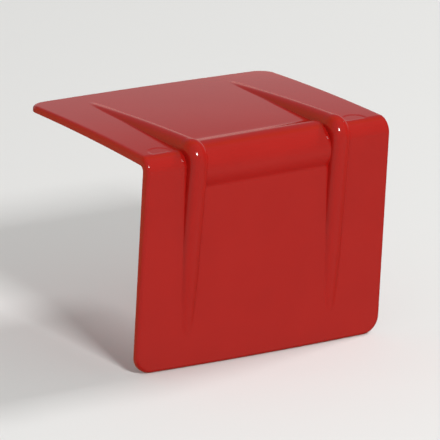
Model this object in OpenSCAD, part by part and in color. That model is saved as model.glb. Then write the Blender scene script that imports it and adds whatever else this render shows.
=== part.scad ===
// Plastic strapping corner protector: a moulded L-shaped guard that sits on a carton's edge,
// keeps the strap on its line between two ribs and spreads the strap's pull.
// +X runs along the carton's edge, +Y back over the carton's top, and +Z up.
// The origin is on the carton's edge line, midway along the guard.

/* [Flanges] */
// Width of the guard along the carton's edge
guard_w = 63.5; // [56:0.5:90]
// Length of each flange, from the outer corner to its tip
flange_l = 50.8; // [44:0.2:76]
// Angle between the outer faces of the two flanges
flange_angle = 85.5; // [84:0.1:89]
// Wall thickness beside the bend
wall_bend = 2.1; // [1.7:0.05:2.6]
// Wall thickness at the tips
wall_tip = 1.25; // [1:0.05:1.6]
// Outer radius of the bend beside the ribs
bend_r = 3.5; // [2.8:0.1:4.5]
// Radius of the fillet inside the bend
inner_r = 1.2; // [0.6:0.1:2]
// Corner radius of the tips, seen square on
corner_r = 4; // [2:0.25:8]
// Rounding of the outer edge along each tip
edge_r = 0.8; // [0.4:0.05:0.95]

/* [Ribs] */
// Distance between the centre lines of the two ribs
rib_spacing = 37.2; // [30:0.1:42]
// Radius of a rib's round crest
rib_r = 2.5; // [1.8:0.1:3.2]
// Height of a rib's crest line over the outer corner
rib_rise = 2.5; // [1.2:0.1:3]
// Distance from a flange's tip to where a rib has run out into the flange
rib_stop = 6.8; // [5:0.2:14]
// Radius of a rib's underside where it turns the bend
rib_turn_r = 0.5; // [0.2:0.1:2]

/* [Strap roll] */
// Radius of the roll that the strap bends over
roll_r = 5.2; // [4.4:0.1:6.4]
// How far the roll stands proud of the front flange
roll_front = 1.35; // [0.4:0.05:1.6]
// How far the roll stands proud of the top flange
roll_top = 0.6; // [0.2:0.05:1.6]
// Radius of the fillet where the roll runs back into a flange
roll_fillet_r = 0.8; // [0.3:0.1:1.5]

/* [Mould marks] */
// Diameter of the round mould marks beside the bend
mark_d = 5.2; // [3:0.1:7]
// Depth of a mould mark
mark_depth = 0.15; // [0.1:0.01:0.3]
// Distance of a mould mark's centre from the outer corner
mark_back = 4.2; // [3.5:0.1:12]
// Distance from a rib's foot to the nearest point of its mould mark
mark_gap = 1.7; // [0.5:0.1:3.5]

/* [Hidden] */
$fn = 96;
guard_colour = [0.68, 0.17, 0.14];

// How far a cutting solid runs past what it cuts
overrun = 5;

// How far a rounding stands out past tangent, so that it crosses the faces beside it at a slight angle
blend_cross = 0.005;

// How far each flange's outer face leans in from square
lean = (90 - flange_angle) / 2;

// Distance of the outer corner from the carton's faces, with both inner tip edges on them
corner_out = flange_l * sin(lean) + wall_tip * cos(lean);

// Lean of the inner faces, which the taper of the wall makes squarer
inner_lean = lean - atan((wall_bend - wall_tip) / flange_l);

// Distance of a flange's inner tip edge from the carton's edge
tip_reach = flange_l * cos(lean) - wall_tip * sin(lean) - corner_out;

// Distance of the inner faces' meeting line from the carton's faces
inner_out = tip_reach * tan(inner_lean) / (1 - tan(inner_lean));

// Centre of the fillet inside the bend
inner_centre = inner_r / (cos(inner_lean) - sin(inner_lean)) - inner_out;

// Distance along one flange of a point that is this deep under it and under the other flange
function along(under, under_other) = (under_other + under * sin(2 * lean)) / cos(2 * lean);

// Where the bend ends and the flat of a flange starts
flat_start = along(bend_r, bend_r);

// Distance from the outer corner to where a rib has run out into its flange
rib_reach = flange_l - rib_stop;

// Lean of the ribs' crest lines
crest_lean = lean + atan(rib_rise / rib_reach);

// Share of the wall that a rib's straight foot goes down through at the bend
foot_share = 0.7;

// Depth of the straight foot that ties a rib's half-round crest into the wall
rib_foot = max(rib_rise - rib_r, 0) + foot_share * wall_bend;

// Radius of a rib's path round the bend, at the centre of its crest
rib_path_r = rib_turn_r + rib_foot;

// Distance of a rib's turning centre from the carton's faces
crest_height = corner_out * (cos(crest_lean) - sin(crest_lean)) + rib_rise * cos(crest_lean - lean);
turn_centre = (crest_height - rib_path_r - rib_r) / (cos(crest_lean) - sin(crest_lean));

// Facets round a rib's crest and along its turn
crest_steps = 20;
turn_steps = 12;

// One section of a rib: a half-round crest over a straight foot, as [along X, out of the path]
rib_section = concat(
    [for (i = [0 : crest_steps])
        let (a = 90 - 180 * i / crest_steps)
        [rib_r * sin(a), rib_r * cos(a)]],
    [[-rib_r, -rib_foot], [rib_r, -rib_foot]]
);

// A rib's path: the way out of the bend at each section, and how far the section lies along its flange
rib_stations = concat(
    [[90 - crest_lean, rib_reach]],
    [for (i = [0 : turn_steps]) [90 - crest_lean + (90 + 2 * crest_lean) * i / turn_steps, 0]],
    [[180 + crest_lean, -rib_reach]]
);

// Place of one point of the rib's section at a station
function rib_point(station, p) =
    let (out = [cos(station[0]), sin(station[0])])
    let (on_path = turn_centre * [-1, 1] + rib_path_r * out + station[1] * [out[1], -out[0]])
    [p[0], on_path[0] + p[1] * out[0], on_path[1] + p[1] * out[1]];

// Depth of the roll's centre under each flange's outer face
roll_under_top = roll_r - roll_top;
roll_under_front = roll_r - roll_front;

// Width of the roll, whose ends lie inside the ribs and clear of their centre planes
roll_w = rib_spacing - rib_r / 2;

// Distance of a mould mark's centre from the guard's middle
mark_x = rib_spacing / 2 + rib_r + mark_gap + mark_d / 2;

// Extrudes a section drawn in the YZ plane along X
module across(w) {
    rotate([90, 0, 90])
        linear_extrude(w, center = true)
            children();
}

// Draws a section once for the top flange and once, mirrored, for the front flange
module both_sections() {
    children();
    mirror([1, 1])
        children();
}

// A flange's own plane in a section: x from the outer corner to the tip, y out of the face
module flange_section() {
    translate([-corner_out, corner_out])
        rotate(-lean)
            children();
}

// A flange's own frame: X along the guard, Y from the outer corner to the tip, Z out of the face
module flange_frame() {
    translate([0, -corner_out, corner_out])
        rotate([-lean, 0, 0])
            children();
}

// Outer section of one flange, from the bend to the tip, with its tip edge rounded
module flange_outline() {
    flange_section() {
        translate([flat_start, -bend_r])
            square([flange_l - flat_start, bend_r - edge_r]);
        translate([flat_start, -bend_r])
            square([flange_l - flat_start - edge_r, bend_r]);
        translate([flange_l - edge_r, -edge_r])
            circle(edge_r);
    }
}

// Outer block of both flanges and the bend that joins them
module outer_block() {
    across(guard_w) {
        both_sections()
            flange_outline();
        flange_section()
            translate([flat_start, -bend_r])
                circle(bend_r + blend_cross);
    }
}

// What is cut off a flange to round its two tip corners
module tip_corners() {
    inset = corner_r - blend_cross;
    flange_frame()
        for (side = [0, 1])
            mirror([side, 0, 0])
                translate([guard_w / 2 - inset, flange_l - inset, -bend_r - overrun])
                    difference() {
                        cube([corner_r + overrun, corner_r + overrun, bend_r + 2 * overrun]);
                        cylinder(r = corner_r, h = bend_r + 2 * overrun);
                    }
}

// A round-crested rib that turns the bend and sinks into both flanges
module rib() {
    sides = len(rib_section);
    last = len(rib_stations) - 1;
    polyhedron(
        points = [for (station = rib_stations) for (p = rib_section) rib_point(station, p)],
        faces = concat(
            [[for (k = [0 : sides - 1]) k]],
            [for (s = [0 : last - 1]) for (k = [0 : sides - 1])
                let (next = (k + 1) % sides)
                [s * sides + k, (s + 1) * sides + k, (s + 1) * sides + next, s * sides + next]],
            [[for (k = [0 : sides - 1]) last * sides + sides - 1 - k]]
        )
    );
}

// Fillet between the roll and a flange's face, drawn in that flange's plane
module roll_return(under, under_other) {
    roll_at = along(under, under_other);
    reach = sqrt(pow(roll_r + roll_fillet_r, 2) - pow(under + roll_fillet_r, 2));
    difference() {
        polygon([[roll_at, -under], [roll_at + reach, 0], [roll_at + reach, roll_fillet_r]]);
        translate([roll_at + reach, roll_fillet_r])
            circle(roll_fillet_r);
    }
}

// The bulged roll along the bend between the ribs
module strap_roll() {
    across(roll_w) {
        flange_section() {
            translate([along(roll_under_top, roll_under_front), -roll_under_top])
                circle(roll_r);
            roll_return(roll_under_top, roll_under_front);
        }
        mirror([1, 1])
            flange_section()
                roll_return(roll_under_front, roll_under_top);
    }
}

// The carton's space inside the guard, with the fillet of the inner corner
module inner_space() {
    touch = inner_r * [sin(inner_lean), cos(inner_lean)] + inner_centre * [1, -1];
    far = tip_reach + overrun;
    drop = overrun * tan(inner_lean);
    across(guard_w + 2 * overrun) {
        polygon([touch, [far, -drop], [far, -far], [drop, -far], [-touch[1], -touch[0]]]);
        translate(inner_centre * [1, -1])
            circle(inner_r);
    }
}

// Shallow round marks that the mould leaves on the top flange beside the bend
module mould_marks() {
    flange_frame()
        for (side = [-1, 1])
            translate([side * mark_x, mark_back, -mark_depth])
                cylinder(d = mark_d, h = overrun);
}

module corner_guard() {
    color(guard_colour)
        difference() {
            union() {
                outer_block();
                for (side = [-1, 1])
                    translate([side * rib_spacing / 2, 0, 0])
                        rib();
                strap_roll();
            }
            inner_space();
            mould_marks();
            tip_corners();
            mirror([0, 1, 1])
                tip_corners();
        }
}

corner_guard();
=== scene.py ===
import math

import bpy
import numpy as np
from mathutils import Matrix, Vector


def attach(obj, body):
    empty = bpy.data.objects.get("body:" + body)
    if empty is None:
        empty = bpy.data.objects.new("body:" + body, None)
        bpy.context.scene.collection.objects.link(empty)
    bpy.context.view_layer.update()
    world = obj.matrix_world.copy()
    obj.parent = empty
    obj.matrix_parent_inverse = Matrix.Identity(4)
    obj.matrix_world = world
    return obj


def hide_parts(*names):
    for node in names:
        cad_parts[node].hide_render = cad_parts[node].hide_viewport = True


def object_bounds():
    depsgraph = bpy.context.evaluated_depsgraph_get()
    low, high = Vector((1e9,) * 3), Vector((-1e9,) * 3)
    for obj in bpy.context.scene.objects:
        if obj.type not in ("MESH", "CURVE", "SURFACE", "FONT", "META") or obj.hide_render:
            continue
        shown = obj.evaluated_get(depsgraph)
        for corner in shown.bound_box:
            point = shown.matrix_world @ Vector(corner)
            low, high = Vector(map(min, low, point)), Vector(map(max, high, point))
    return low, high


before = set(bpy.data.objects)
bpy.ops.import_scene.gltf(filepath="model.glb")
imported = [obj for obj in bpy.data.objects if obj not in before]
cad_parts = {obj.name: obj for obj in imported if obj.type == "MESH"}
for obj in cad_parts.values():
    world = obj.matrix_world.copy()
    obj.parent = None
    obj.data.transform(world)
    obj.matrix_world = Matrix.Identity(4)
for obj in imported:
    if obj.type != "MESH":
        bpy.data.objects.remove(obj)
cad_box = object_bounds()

# Metres in a millimetre
MM = 0.001

# Sizes of the guard in millimetres and degrees, as in the part's source
GUARD_W = 63.5
FLANGE_L = 50.8
FLANGE_ANGLE = 85.5
WALL_BEND = 2.1
WALL_TIP = 1.25
BEND_R = 3.5
INNER_R = 1.2
CORNER_R = 4.0
EDGE_R = 0.8
RIB_SPACING = 37.2
RIB_R = 2.5
RIB_RISE = 2.5
RIB_STOP = 6.8
RIB_TURN_R = 0.5
FOOT_SHARE = 0.7
ROLL_R = 5.2
ROLL_TOP = 0.6
MARK_D = 5.2
MARK_BACK = 4.2
MARK_GAP = 1.7

# Sizes that only the looks have: the roll's front, the ribs' offset, and the joins and marks
ROLL_FRONT = 0.77
ROLL_LOW_R = 8.5
ROLL_BLEND_TOP = 0.07
ROLL_BLEND_FRONT = 0.2
RIB_ROOT_R = 0.004
RIB_SHIFT = -0.7
MARK_DEPTH = 0.07
MARK_EDGE = 0.3

# Section of a rib: round on the top flange, and slightly squarer and slimmer on the front flange
ROUND_POWER = 2
FRONT_RIB_POWER = 2.6
FRONT_RIB_SLIM = 1.04

# Steps of the mesh columns in millimetres, from the marks to the wide middle
MARK_COLUMN = 0.25
PANEL_COLUMN = 0.5
MIDDLE_COLUMN = 1.2
LEAST_COLUMN = 0.012

# Columns on a rib's flanks, as shares of its radius, and beside its roots, in millimetres
FLANK_SHARES = np.linspace(0.90, 1.0, 11)
ROOT_STEPS = np.array([0.03, 0.08, 0.16, 0.3, 0.55, 0.9])

# Steps of the mesh rows in millimetres: beside the bend, along the ribs and where the ribs run out
BEND_ROW = 0.2
RIB_ROW = 1.2
RUN_OUT_ROW = 0.6
LEAST_ROW = 0.008

# How far the close rows beside the bend reach on each flange, and how long the ribs' run-out is
TOP_CLOSE_END = 7.2
FRONT_CLOSE_END = 9.8
RUN_OUT = 8

# Rows round the bend, and the least distance of a flange's first row from them
BEND_ROWS = 40
BEND_CLEARANCE = 0.01

# Steps in degrees round the edges and round the larger curves
QUARTER_TURN = 90
EDGE_TURN = 15
CURVE_TURN = 7.5

# Search for the surfaces: where the outer one starts, the share of each step taken, and the rounds
SEARCH_START = 12.0
SEARCH_SHARE = 0.95
OUTER_ROUNDS = 400
INNER_ROUNDS = 100

# Width in millimetres inside a tip's corner that is drawn in with the corner
DRAWN_IN = 1.75

# Least share of a row's direction that points out of the top: for a mark to show, and to divide by
MARK_TILT = 0.3
LEAST_TILT = 0.05

# Angle in degrees over which an edge is shaded sharp
SHARP_ANGLE = 50

# Slight warp of the moulding, in millimetres at a flange's tip or middle
TOP_TWIST = -0.6
FRONT_TWIST = 0.5
TOP_BOW = 0.4
TOP_CROSS_BOW = -0.2
FRONT_CROSS_BOW = -0.8

# Places worked out from the sizes, in the section's y and z
LEAN = math.radians(90 - FLANGE_ANGLE) / 2
CORNER_OUT = FLANGE_L * math.sin(LEAN) + WALL_TIP * math.cos(LEAN)
CORNER = np.array([-CORNER_OUT, CORNER_OUT])
INNER_LEAN = LEAN - math.atan((WALL_BEND - WALL_TIP) / FLANGE_L)
TIP_REACH = FLANGE_L * math.cos(LEAN) - WALL_TIP * math.sin(LEAN) - CORNER_OUT
INNER_OUT = TIP_REACH * math.tan(INNER_LEAN) / (1 - math.tan(INNER_LEAN))
INNER_CENTRE = INNER_R / (math.cos(INNER_LEAN) - math.sin(INNER_LEAN)) - INNER_OUT
RIB_REACH = FLANGE_L - RIB_STOP
CREST_LEAN = LEAN + math.atan(RIB_RISE / RIB_REACH)
RIB_FOOT = max(RIB_RISE - RIB_R, 0) + FOOT_SHARE * WALL_BEND
RIB_PATH_R = RIB_TURN_R + RIB_FOOT
CREST_SPAN = math.cos(CREST_LEAN) - math.sin(CREST_LEAN)
CREST_HEIGHT = CORNER_OUT * CREST_SPAN + RIB_RISE * math.cos(CREST_LEAN - LEAN)
TURN_CENTRE = (CREST_HEIGHT - RIB_PATH_R - RIB_R) / CREST_SPAN
ROLL_W = RIB_SPACING - RIB_R / 2


def flange_axes(lean):
    """Outward normal and way to the tip of the top flange and of the front flange, at a lean."""
    s = math.sin(lean)
    c = math.cos(lean)
    top = (np.array([s, c]), np.array([c, -s]))
    front = (np.array([-c, -s]), np.array([s, -c]))
    return top, front


TOP_AXES, FRONT_AXES = flange_axes(LEAN)


def along(under, under_other):
    """Distance along one flange of a point this deep under it and under the other flange."""
    return (under_other + under * math.sin(2 * LEAN)) / math.cos(2 * LEAN)


FLAT_START = along(BEND_R, BEND_R)
BEND_CENTRE = CORNER + FLAT_START * TOP_AXES[1] - BEND_R * TOP_AXES[0]
ROLL_AT = along(ROLL_R - ROLL_TOP, ROLL_R - ROLL_FRONT)
ROLL_CENTRE = CORNER + ROLL_AT * TOP_AXES[1] - (ROLL_R - ROLL_TOP) * TOP_AXES[0]
LOW_CENTRE = ROLL_CENTRE - (ROLL_LOW_R - ROLL_R) * FRONT_AXES[0]


def spaced(values, gap):
    """Sorted values without those that lie closer than a gap to the one before."""
    kept = []
    for value in sorted(values):
        if not kept or value - kept[-1] > gap:
            kept.append(float(value))
    return kept


def stepped(start, end, step):
    """Evenly spaced values from start to end, about a step apart."""
    return np.linspace(start, end, max(2, int(round((end - start) / step)) + 1))


def turns(start, step):
    """Angles in radians from a start in degrees to a quarter turn, a step in degrees apart."""
    return np.radians(np.arange(start, QUARTER_TURN + 1, step))


def mark_place(side):
    """Distance of the mould mark on one side from the guard's middle, with -1 for the left."""
    return RIB_SPACING / 2 + side * RIB_SHIFT + RIB_R + MARK_GAP + MARK_D / 2


def column_places(side):
    """Distances of one side's mesh columns from the middle, closer at the edge, the rib and the mark."""
    half = GUARD_W / 2
    rib_at = RIB_SPACING / 2 + side * RIB_SHIFT
    mark_in = mark_place(side) - MARK_D / 2 - MARK_EDGE
    mark_out = mark_place(side) + MARK_D / 2 + MARK_EDGE
    places = list(half - EDGE_R * (1 - np.cos(turns(0, EDGE_TURN))))
    places += list(rib_at + RIB_R * np.sin(turns(-QUARTER_TURN, CURVE_TURN)))
    places += list(rib_at + RIB_R * FLANK_SHARES)
    places += list(rib_at - RIB_R * FLANK_SHARES)
    places += list(rib_at + RIB_R + ROOT_STEPS)
    places += list(rib_at - RIB_R - ROOT_STEPS)
    places += list(stepped(mark_in, mark_out, MARK_COLUMN))
    places += list(stepped(mark_out, half - EDGE_R, PANEL_COLUMN))
    places += list(stepped(MIDDLE_COLUMN / 2, rib_at - RIB_R - ROOT_STEPS[-1], MIDDLE_COLUMN))
    return spaced(places, LEAST_COLUMN)


def tip_rows():
    """Distances from the outer corner of the rows that round a flange's tip and its corners."""
    rows = list(FLANGE_L - CORNER_R + CORNER_R * np.sin(turns(0, CURVE_TURN)))
    rows += list(FLANGE_L - EDGE_R + EDGE_R * np.sin(turns(0, EDGE_TURN)))
    return rows


def flange_rows(close_end):
    """Distances from the outer corner of one flange's rows, close together as far as close_end."""
    rows = list(stepped(FLAT_START, close_end, BEND_ROW))
    rows += list(stepped(close_end, RIB_REACH - RUN_OUT, RIB_ROW))
    rows += list(stepped(RIB_REACH - RUN_OUT, FLANGE_L - CORNER_R, RUN_OUT_ROW))
    rows += tip_rows()
    return [r for r in spaced(rows, LEAST_ROW) if r > FLAT_START + BEND_CLEARANCE]


def section_rows():
    """Start, direction and distance from the outer corner of each row, from the top tip to the front tip."""
    starts = []
    ways = []
    reach = []
    for s in reversed(flange_rows(TOP_CLOSE_END)):
        starts.append(CORNER + s * TOP_AXES[1] - BEND_R * TOP_AXES[0])
        ways.append(TOP_AXES[0])
        reach.append(s)
    for turn in np.linspace(math.pi / 2 - LEAN, math.pi + LEAN, BEND_ROWS):
        starts.append(BEND_CENTRE)
        ways.append(np.array([math.cos(turn), math.sin(turn)]))
        reach.append(0.0)
    for s in flange_rows(FRONT_CLOSE_END):
        starts.append(CORNER + s * FRONT_AXES[1] - BEND_R * FRONT_AXES[0])
        ways.append(FRONT_AXES[0])
        reach.append(s)
    return np.array(starts), np.array(ways), np.array(reach)


def section_points(starts, ways, t):
    """Section y and z of the points at distance t along each row, at each column."""
    y = starts[:, 0:1] + t * ways[:, 0:1]
    z = starts[:, 1:2] + t * ways[:, 1:2]
    return y, z


def wedge_distance(y, z, apex, lean):
    """Signed distance of section points from a wedge whose two sides run along the flanges."""
    (n_top, t_top), (n_front, t_front) = flange_axes(lean)
    qy = y - apex[0]
    qz = z - apex[1]
    over_top = qy * n_top[0] + qz * n_top[1]
    over_front = qy * n_front[0] + qz * n_front[1]
    along_top = qy * t_top[0] + qz * t_top[1]
    along_front = qy * t_front[0] + qz * t_front[1]
    outside = np.hypot(qy, qz)
    outside = np.where((over_top > 0) & (along_top >= 0), over_top, outside)
    outside = np.where((over_front > 0) & (along_front >= 0), over_front, outside)
    inside = (over_top <= 0) & (over_front <= 0)
    return np.where(inside, np.maximum(over_top, over_front), outside)


def round_union(a, b, blend):
    """Distance field of two joined shapes, with a blend in the hollow between them."""
    near_a = np.maximum(blend - a, 0)
    near_b = np.maximum(blend - b, 0)
    return np.maximum(blend, np.minimum(a, b)) - np.hypot(near_a, near_b)


def roll_distance(y, z, from_middle):
    """Signed distance of section points from the roll, whose front runs out below in a flatter curve."""
    qy = y - ROLL_CENTRE[0]
    qz = z - ROLL_CENTRE[1]
    to_tip = FRONT_AXES[1]
    below = qy * to_tip[0] + qz * to_tip[1] > 0
    high_roll = np.hypot(qy, qz) - ROLL_R
    low_roll = np.hypot(y - LOW_CENTRE[0], z - LOW_CENTRE[1]) - ROLL_LOW_R
    return np.maximum(np.where(below, low_roll, high_roll), from_middle - ROLL_W / 2)


def outer_reach(x, starts, ways):
    """How far each row's outer surface lies from the row's start, at each column."""
    turn = np.arctan2(ways[:, 1], ways[:, 0]) % (2 * math.pi)
    share = np.clip((turn - math.pi / 2 + LEAN) / (math.pi / 2 + 2 * LEAN), 0, 1)
    roll_blend = (ROLL_BLEND_TOP + share * (ROLL_BLEND_FRONT - ROLL_BLEND_TOP))[:, None]
    power = (ROUND_POWER + share * (FRONT_RIB_POWER - ROUND_POWER))[:, None]
    slim = (1 + share * (FRONT_RIB_SLIM - 1))[:, None]
    from_middle = np.abs(x - RIB_SHIFT)
    off_rib = np.abs(from_middle - RIB_SPACING / 2) * slim
    t = np.full(x.shape, SEARCH_START)
    for _ in range(OUTER_ROUNDS):
        y, z = section_points(starts, ways, t)
        body = round_union(t - BEND_R, roll_distance(y, z, from_middle), roll_blend)
        out = wedge_distance(y, z, (-TURN_CENTRE, TURN_CENTRE), CREST_LEAN) - RIB_PATH_R
        rib = (off_rib ** power + np.maximum(out, 0) ** power) ** (1 / power) - RIB_R
        t = t - SEARCH_SHARE * round_union(body, rib, RIB_ROOT_R)
    return t


def inner_reach(starts, ways):
    """How far each row's inner surface lies from the row's start."""
    t = np.full(len(starts), BEND_R)
    for _ in range(INNER_ROUNDS):
        y = starts[:, 0] + t * ways[:, 0]
        z = starts[:, 1] + t * ways[:, 1]
        t -= wedge_distance(y, z, (INNER_CENTRE, -INNER_CENTRE), INNER_LEAN) - INNER_R
    return t


def edge_distance(x, reach):
    """Distance of each point from the guard's outline, seen square on to its flange."""
    across = np.abs(x) - (GUARD_W / 2 - CORNER_R)
    past = reach[:, None] - (FLANGE_L - CORNER_R)
    corner = np.hypot(np.maximum(across, 0), np.maximum(past, 0))
    return CORNER_R - corner - np.minimum(np.maximum(across, past), 0)


def mark_sink(x, starts, ways, t):
    """Outer surface with the shallow round mould marks sunk into the top flange."""
    y, z = section_points(starts, ways, t)
    back = (y - CORNER[0]) * TOP_AXES[1][0] + (z - CORNER[1]) * TOP_AXES[1][1]
    mark_x = np.where(x < 0, mark_place(-1), mark_place(1))
    from_mark = np.hypot(np.abs(x) - mark_x, back - MARK_BACK)
    ease = np.clip((MARK_D / 2 - from_mark) / MARK_EDGE + 0.5, 0, 1)
    ease = ease * ease * (3 - 2 * ease)
    tilt = (ways @ TOP_AXES[0])[:, None]
    limit = (BEND_R - MARK_DEPTH * ease) / np.maximum(tilt, LEAST_TILT)
    on_top = (tilt > MARK_TILT) & (ease > 0)
    return np.where(on_top, np.minimum(t, np.maximum(limit, 0)), t)


def flange_warp(x, ways, reach):
    """How far the warp of the moulding moves each point along its row's direction."""
    share = np.clip((reach - FLAT_START) / (FLANGE_L - FLAT_START), 0, 1)[:, None]
    side = x / (GUARD_W / 2)
    # A bow across the guard that comes to nothing on average
    crown = side ** 2 - 1 / 3
    # A bow along a flange that is 1 halfway
    arch = 4 * share * (1 - share)
    top = (TOP_TWIST * side + TOP_CROSS_BOW * crown) * share + TOP_BOW * arch
    front = (FRONT_TWIST * side + FRONT_CROSS_BOW * crown) * share
    is_top = (ways @ TOP_AXES[0] > ways @ FRONT_AXES[0])[:, None]
    return np.where(is_top, top, front)


def column_grid(reach):
    """Place of each mesh point along the guard, with the outer columns drawn in at the tips' corners."""
    left_places = [-place for place in reversed(column_places(-1))]
    plain = np.array(left_places + column_places(1))
    half = GUARD_W / 2
    past = np.clip(reach - (FLANGE_L - CORNER_R), 0, CORNER_R)
    half_width = half - CORNER_R + np.sqrt(CORNER_R ** 2 - past ** 2)
    still = half - CORNER_R - DRAWN_IN
    squeeze = ((half_width - still) / (half - still))[:, None]
    outer_part = np.maximum(np.abs(plain) - still, 0)
    return np.sign(plain) * (np.minimum(np.abs(plain), still) + outer_part * squeeze)


def mesh_points(x, starts, ways, t):
    """Places in metres of the points at distance t along each row, at each column."""
    y, z = section_points(starts, ways, t)
    return np.stack([x, y, z], axis=2).reshape(-1, 3) * MM


def mesh_faces(rows, columns):
    """Faces of a closed shell whose outer points come first and whose inner points follow."""
    count = rows * columns
    over = np.arange(count).reshape(rows, columns)
    under = over + count
    a = over[:-1, :-1]
    b = over[1:, :-1]
    c = over[1:, 1:]
    d = over[:-1, 1:]
    outer = np.stack([a, b, c, d], axis=2).reshape(-1, 4)
    inner = np.stack([a, d, c, b], axis=2).reshape(-1, 4) + count
    left = np.stack([over[:-1, 0], under[:-1, 0], under[1:, 0], over[1:, 0]], axis=1)
    right = np.stack([over[:-1, -1], over[1:, -1], under[1:, -1], under[:-1, -1]], axis=1)
    top_tip = np.stack([over[0, :-1], over[0, 1:], under[0, 1:], under[0, :-1]], axis=1)
    front_tip = np.stack([over[-1, :-1], under[-1, :-1], under[-1, 1:], over[-1, 1:]], axis=1)
    return np.vstack([outer, inner, left, right, top_tip, front_tip])


def guard_mesh():
    """The whole guard as one closed mesh of rows and columns."""
    starts, ways, reach = section_rows()
    x = column_grid(reach)
    t_out = outer_reach(x, starts, ways)
    t_out = mark_sink(x, starts, ways, t_out)
    from_edge = np.clip(edge_distance(x, reach), 0, EDGE_R)
    t_out = t_out - (EDGE_R - np.sqrt(EDGE_R ** 2 - (EDGE_R - from_edge) ** 2))
    t_in = np.repeat(inner_reach(starts, ways)[:, None], x.shape[1], axis=1)
    warp = flange_warp(x, ways, reach)
    outer = mesh_points(x, starts, ways, t_out + warp)
    inner = mesh_points(x, starts, ways, t_in + warp)
    vertices = np.vstack([outer, inner])
    faces = mesh_faces(x.shape[0], x.shape[1])

    mesh = bpy.data.meshes.new("guard_moulding")
    mesh.from_pydata(vertices.tolist(), [], faces.tolist())
    mesh.polygons.foreach_set("use_smooth", [True] * len(mesh.polygons))
    mesh.set_sharp_from_angle(angle=math.radians(SHARP_ANGLE))
    mesh.update()
    return mesh


def add_node(tree, kind, **inputs):
    """Adds a shader node and sets its plain input values."""
    node = tree.nodes.new(kind)
    for name, value in inputs.items():
        node.inputs[name.replace("_", " ")].default_value = value
    return node


def noise_node(tree, place, scale, detail, roughness):
    """A noise texture over the object's own coordinates."""
    node = add_node(tree, "ShaderNodeTexNoise", Scale=scale, Detail=detail, Roughness=roughness)
    tree.links.new(place.outputs["Object"], node.inputs["Vector"])
    return node


def ramp_node(tree, source, stops):
    """A colour ramp fed by one output, with (place, colour) stops."""
    ramp = tree.nodes.new("ShaderNodeValToRGB")
    ramp.color_ramp.elements[0].position = stops[0][0]
    ramp.color_ramp.elements[0].color = stops[0][1]
    ramp.color_ramp.elements[1].position = stops[-1][0]
    ramp.color_ramp.elements[1].color = stops[-1][1]
    for place, colour in stops[1:-1]:
        element = ramp.color_ramp.elements.new(place)
        element.color = colour
    tree.links.new(source, ramp.inputs["Fac"])
    return ramp


def mix_node(tree, factor, first, second):
    """Output of a colour mix by a factor of two inputs, each an output or a plain colour."""
    node = tree.nodes.new("ShaderNodeMix")
    node.data_type = "RGBA"
    sockets = [socket for socket in node.inputs if socket.type == "RGBA"]
    tree.links.new(factor, node.inputs["Factor"])
    for socket, source in zip(sockets, (first, second)):
        if isinstance(source, tuple):
            socket.default_value = source
        else:
            tree.links.new(source, socket)
    return [socket for socket in node.outputs if socket.type == "RGBA"][0]


def grey(value):
    """An even grey as a colour."""
    return (value, value, value, 1.0)


def red_plastic():
    """Glossy red moulded plastic, slightly uneven in colour and gloss, with a fine grain."""
    material = bpy.data.materials.new("red_plastic")
    material.use_nodes = True
    tree = material.node_tree
    shader = tree.nodes["Principled BSDF"]
    shader.inputs["IOR"].default_value = 1.5
    place = tree.nodes.new("ShaderNodeTexCoord")
    flow = noise_node(tree, place, scale=70.0, detail=3.0, roughness=0.55)
    colour = ramp_node(tree, flow.outputs["Fac"], [
        (0.30, (0.388, 0.0055, 0.0036, 1.0)),
        (0.70, (0.408, 0.0065, 0.0042, 1.0)),
    ])
    tree.links.new(colour.outputs["Color"], shader.inputs["Base Color"])
    gloss = noise_node(tree, place, scale=160.0, detail=4.0, roughness=0.6)
    roughness = ramp_node(tree, gloss.outputs["Fac"], [(0.3, grey(0.10)), (0.7, grey(0.14))])
    tree.links.new(roughness.outputs["Color"], shader.inputs["Roughness"])
    grain = noise_node(tree, place, scale=1400.0, detail=3.0, roughness=0.6)
    bump = add_node(tree, "ShaderNodeBump", Strength=0.05, Distance=0.00003)
    tree.links.new(grain.outputs["Fac"], bump.inputs["Height"])
    tree.links.new(bump.outputs["Normal"], shader.inputs["Normal"])
    return material


def pale_floor():
    """Plain pale floor."""
    material = bpy.data.materials.new("pale_floor")
    material.use_nodes = True
    shader = material.node_tree.nodes["Principled BSDF"]
    shader.inputs["Base Color"].default_value = (0.80, 0.80, 0.79, 1.0)
    shader.inputs["Roughness"].default_value = 0.9
    return material


def add_area(name, place, aim, size, power):
    """A square area lamp at a place in metres, turned towards a point."""
    light = bpy.data.lights.new(name, "AREA")
    light.size = size
    light.energy = power
    lamp = bpy.data.objects.new(name, light)
    lamp.location = place
    lamp.rotation_euler = (aim - lamp.location).to_track_quat("-Z", "Y").to_euler()
    bpy.context.scene.collection.objects.link(lamp)
    return lamp


# The guard itself
guard = bpy.data.objects.new("guard_moulding", guard_mesh())
bpy.context.scene.collection.objects.link(guard)
guard.data.materials.append(red_plastic())
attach(guard, "root")
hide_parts("corner_guard")

# Floor under the front flange's lower edge
FLOOR_HALF = 3.0
floor_z = float(cad_box[0][2])
floor_corners = [
    (-FLOOR_HALF, -FLOOR_HALF, floor_z),
    (FLOOR_HALF, -FLOOR_HALF, floor_z),
    (FLOOR_HALF, FLOOR_HALF, floor_z),
    (-FLOOR_HALF, FLOOR_HALF, floor_z),
]
floor_mesh = bpy.data.meshes.new("floor")
floor_mesh.from_pydata(floor_corners, [], [(0, 1, 2, 3)])
floor = bpy.data.objects.new("floor", floor_mesh)
floor_mesh.materials.append(pale_floor())
bpy.context.scene.collection.objects.link(floor)
floor.visible_glossy = False

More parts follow.
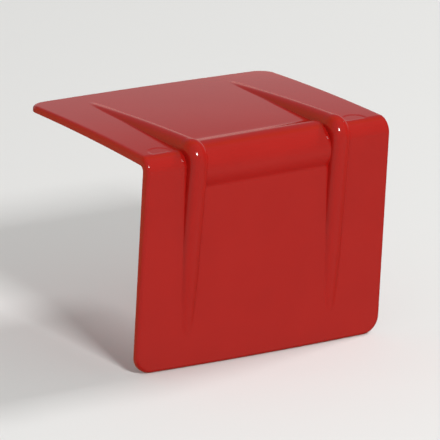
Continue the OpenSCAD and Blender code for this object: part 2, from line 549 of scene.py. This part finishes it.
# Soft studio light: a key that also makes the highlights, a lamp high on the right and one on the left
AIM = Vector((0.0, 0.015, -0.015))
add_area("key", (-0.11, -0.95, 0.78), AIM, size=0.24, power=9.3)
over = add_area("over", (0.95, 0.05, 0.83), AIM, size=0.3, power=8.0)
over.visible_glossy = False
side = add_area("side", (-0.90, 0.45, 0.0), AIM, size=0.2, power=2.0)
side.visible_glossy = False

# World: an even room, apart from what gloss sees of it
ROOM_COLOUR = (0.33, 0.33, 0.325, 1.0)
world = bpy.data.worlds.new("room")
bpy.context.scene.world = world
world.use_nodes = True
room = world.node_tree
facing = room.nodes.new("ShaderNodeTexCoord")
split = room.nodes.new("ShaderNodeSeparateXYZ")
room.links.new(facing.outputs["Generated"], split.inputs["Vector"])
height = add_node(room, "ShaderNodeMapRange", From_Min=-1.0, From_Max=1.0)
room.links.new(split.outputs["Z"], height.inputs["Value"])

# Gloss sees a wall at the back right, palest and warmest low down
WALL_WAY = (0.54, 0.84, 0.0)
wall = ramp_node(room, height.outputs["Result"], [
    (0.47, grey(0.05)),
    (0.51, (0.95, 0.51, 0.46, 1.0)),
    (0.53, (0.97, 0.53, 0.48, 1.0)),
    (0.575, grey(0.43)),
    (0.625, grey(0.41)),
    (0.655, grey(0.28)),
    (0.68, grey(0.21)),
    (1.0, grey(0.22)),
])

# Away from the wall, gloss sees a front that is dim low down, a tan back and a dim right side
BACK_COLOUR = (0.46, 0.33, 0.17, 1.0)
RIGHT_COLOUR = (0.22, 0.19, 0.15, 1.0)
front = ramp_node(room, height.outputs["Result"], [
    (0.12, (0.14, 0.13, 0.11, 1.0)),
    (0.28, (0.42, 0.40, 0.34, 1.0)),
])
behind = ramp_node(room, split.outputs["Y"], [(0.0, grey(0.0)), (0.3, grey(1.0))])
with_back = mix_node(room, behind.outputs["Color"], front.outputs["Color"], BACK_COLOUR)
rightward = ramp_node(room, split.outputs["X"], [(0.60, grey(0.0)), (0.80, grey(1.0))])
with_right = mix_node(room, rightward.outputs["Color"], with_back, RIGHT_COLOUR)
to_wall = room.nodes.new("ShaderNodeVectorMath")
to_wall.operation = "DOT_PRODUCT"
to_wall.inputs[1].default_value = WALL_WAY
room.links.new(facing.outputs["Generated"], to_wall.inputs[0])
at_wall = ramp_node(room, to_wall.outputs["Value"], [(0.5, grey(0.0)), (0.8, grey(1.0))])
in_gloss = mix_node(room, at_wall.outputs["Color"], with_right, wall.outputs["Color"])
light_path = room.nodes.new("ShaderNodeLightPath")
shown = mix_node(room, light_path.outputs["Is Glossy Ray"], ROOM_COLOUR, in_gloss)
room.links.new(shown, room.nodes["Background"].inputs["Color"])
room.nodes["Background"].inputs["Strength"].default_value = 1.0

# Camera at the photograph's angle, in millimetres and degrees
CAMERA_AT = (-924.31, -1389.46, 541.58)
CAMERA_TURN = (71.494, -1.597, -32.793)
FOCAL_PIXELS = 8000.0
PHOTO_PIXELS = 440.0
SENSOR = 36.0
camera_data = bpy.data.cameras.new("camera")
camera_data.sensor_width = SENSOR
camera_data.lens = FOCAL_PIXELS / PHOTO_PIXELS * SENSOR
camera = bpy.data.objects.new("camera", camera_data)
camera.location = [v * MM for v in CAMERA_AT]
camera.rotation_euler = [math.radians(v) for v in CAMERA_TURN]
bpy.context.scene.collection.objects.link(camera)
bpy.context.scene.camera = camera

bpy.context.scene.view_settings.view_transform = "Standard"
